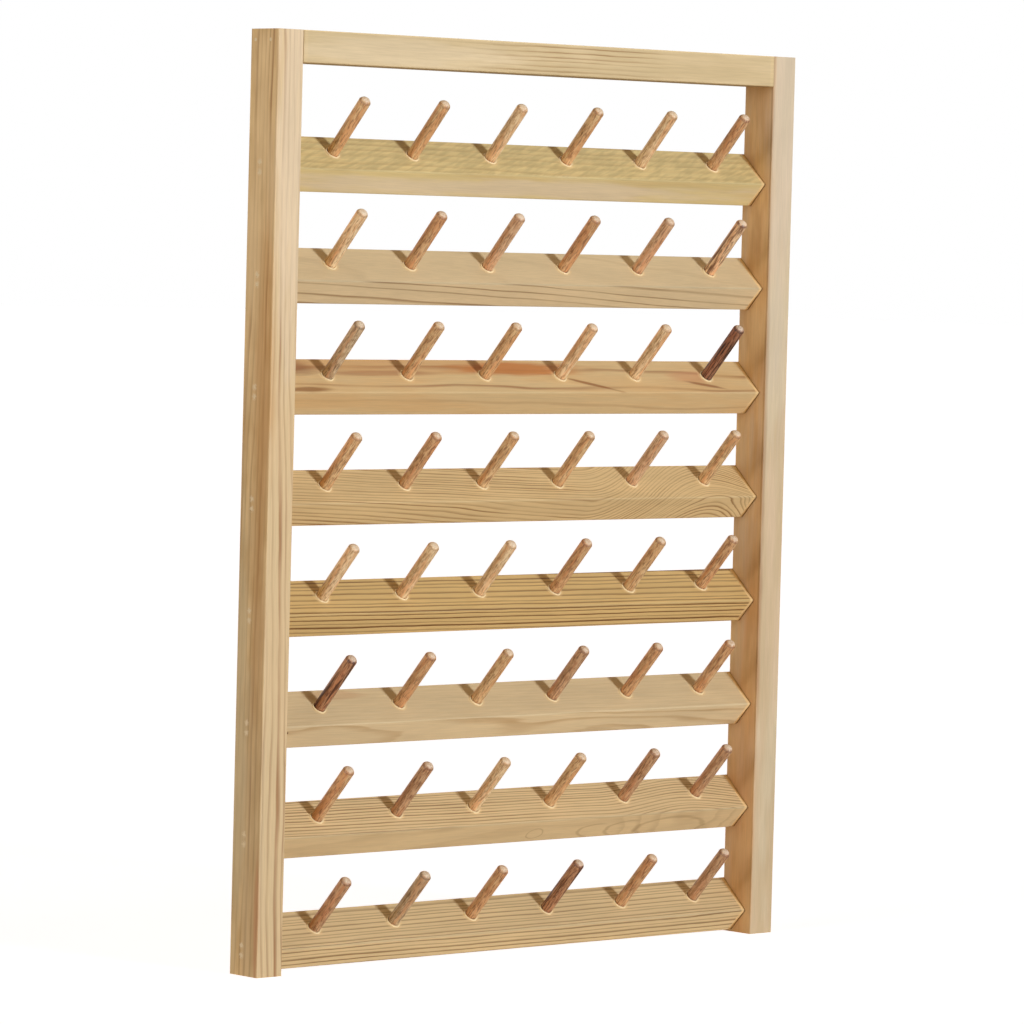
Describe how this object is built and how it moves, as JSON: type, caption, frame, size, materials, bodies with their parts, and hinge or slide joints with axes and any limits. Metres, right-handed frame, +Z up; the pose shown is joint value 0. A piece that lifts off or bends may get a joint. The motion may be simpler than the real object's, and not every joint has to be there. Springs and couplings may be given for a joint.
{
  "type": "thread rack",
  "caption": "Wall rack for sewing thread: a pine frame with sloping cross rails, each carrying a row of round hardwood pegs that lean up and forward to hold spools.",
  "frame": {"origin": "middle of the top rail's back face, which lies on the wall", "axes": "+Z up along the stiles, +Y into the wall, +X to the right seen from the front; the pegs lean towards -Y and +Z"},
  "size_m": [0.4, 0.0386, 0.524],
  "materials": {
    "pine_stile": "satin lacquered pine, vertical grain",
    "pine_top_rail": "satin lacquered pine, level grain",
    "pine_peg_rail": "satin lacquered pine, level grain",
    "hardwood_peg": "stained hardwood dowel",
    "steel_brad": "bright steel wire"
  },
  "bodies": {
    "root": {"left_stile": "pine_stile", "right_stile": "pine_stile", "top_rail": "pine_top_rail", "peg_rail_1": "pine_peg_rail", "peg_rail_2": "pine_peg_rail", "peg_rail_3": "pine_peg_rail", "peg_rail_4": "pine_peg_rail", "peg_rail_5": "pine_peg_rail", "peg_rail_6": "pine_peg_rail", "peg_rail_7": "pine_peg_rail", "peg_rail_8": "pine_peg_rail", "peg_r1_c1": "hardwood_peg", "peg_r1_c2": "hardwood_peg", "peg_r1_c3": "hardwood_peg", "peg_r1_c4": "hardwood_peg", "peg_r1_c5": "hardwood_peg", "peg_r1_c6": "hardwood_peg", "peg_r2_c1": "hardwood_peg", "peg_r2_c2": "hardwood_peg", "peg_r2_c3": "hardwood_peg", "peg_r2_c4": "hardwood_peg", "peg_r2_c5": "hardwood_peg", "peg_r2_c6": "hardwood_peg", "peg_r3_c1": "hardwood_peg", "peg_r3_c2": "hardwood_peg", "peg_r3_c3": "hardwood_peg", "peg_r3_c4": "hardwood_peg", "peg_r3_c5": "hardwood_peg", "peg_r3_c6": "hardwood_peg", "peg_r4_c1": "hardwood_peg", "peg_r4_c2": "hardwood_peg", "peg_r4_c3": "hardwood_peg", "peg_r4_c4": "hardwood_peg", "peg_r4_c5": "hardwood_peg", "peg_r4_c6": "hardwood_peg", "peg_r5_c1": "hardwood_peg", "peg_r5_c2": "hardwood_peg", "peg_r5_c3": "hardwood_peg", "peg_r5_c4": "hardwood_peg", "peg_r5_c5": "hardwood_peg", "peg_r5_c6": "hardwood_peg", "peg_r6_c1": "hardwood_peg", "peg_r6_c2": "hardwood_peg", "peg_r6_c3": "hardwood_peg", "peg_r6_c4": "hardwood_peg", "peg_r6_c5": "hardwood_peg", "peg_r6_c6": "hardwood_peg", "peg_r7_c1": "hardwood_peg", "peg_r7_c2": "hardwood_peg", "peg_r7_c3": "hardwood_peg", "peg_r7_c4": "hardwood_peg", "peg_r7_c5": "hardwood_peg", "peg_r7_c6": "hardwood_peg", "peg_r8_c1": "hardwood_peg", "peg_r8_c2": "hardwood_peg", "peg_r8_c3": "hardwood_peg", "peg_r8_c4": "hardwood_peg", "peg_r8_c5": "hardwood_peg", "peg_r8_c6": "hardwood_peg", "brads": "steel_brad"}
  },
  "joints": []
}
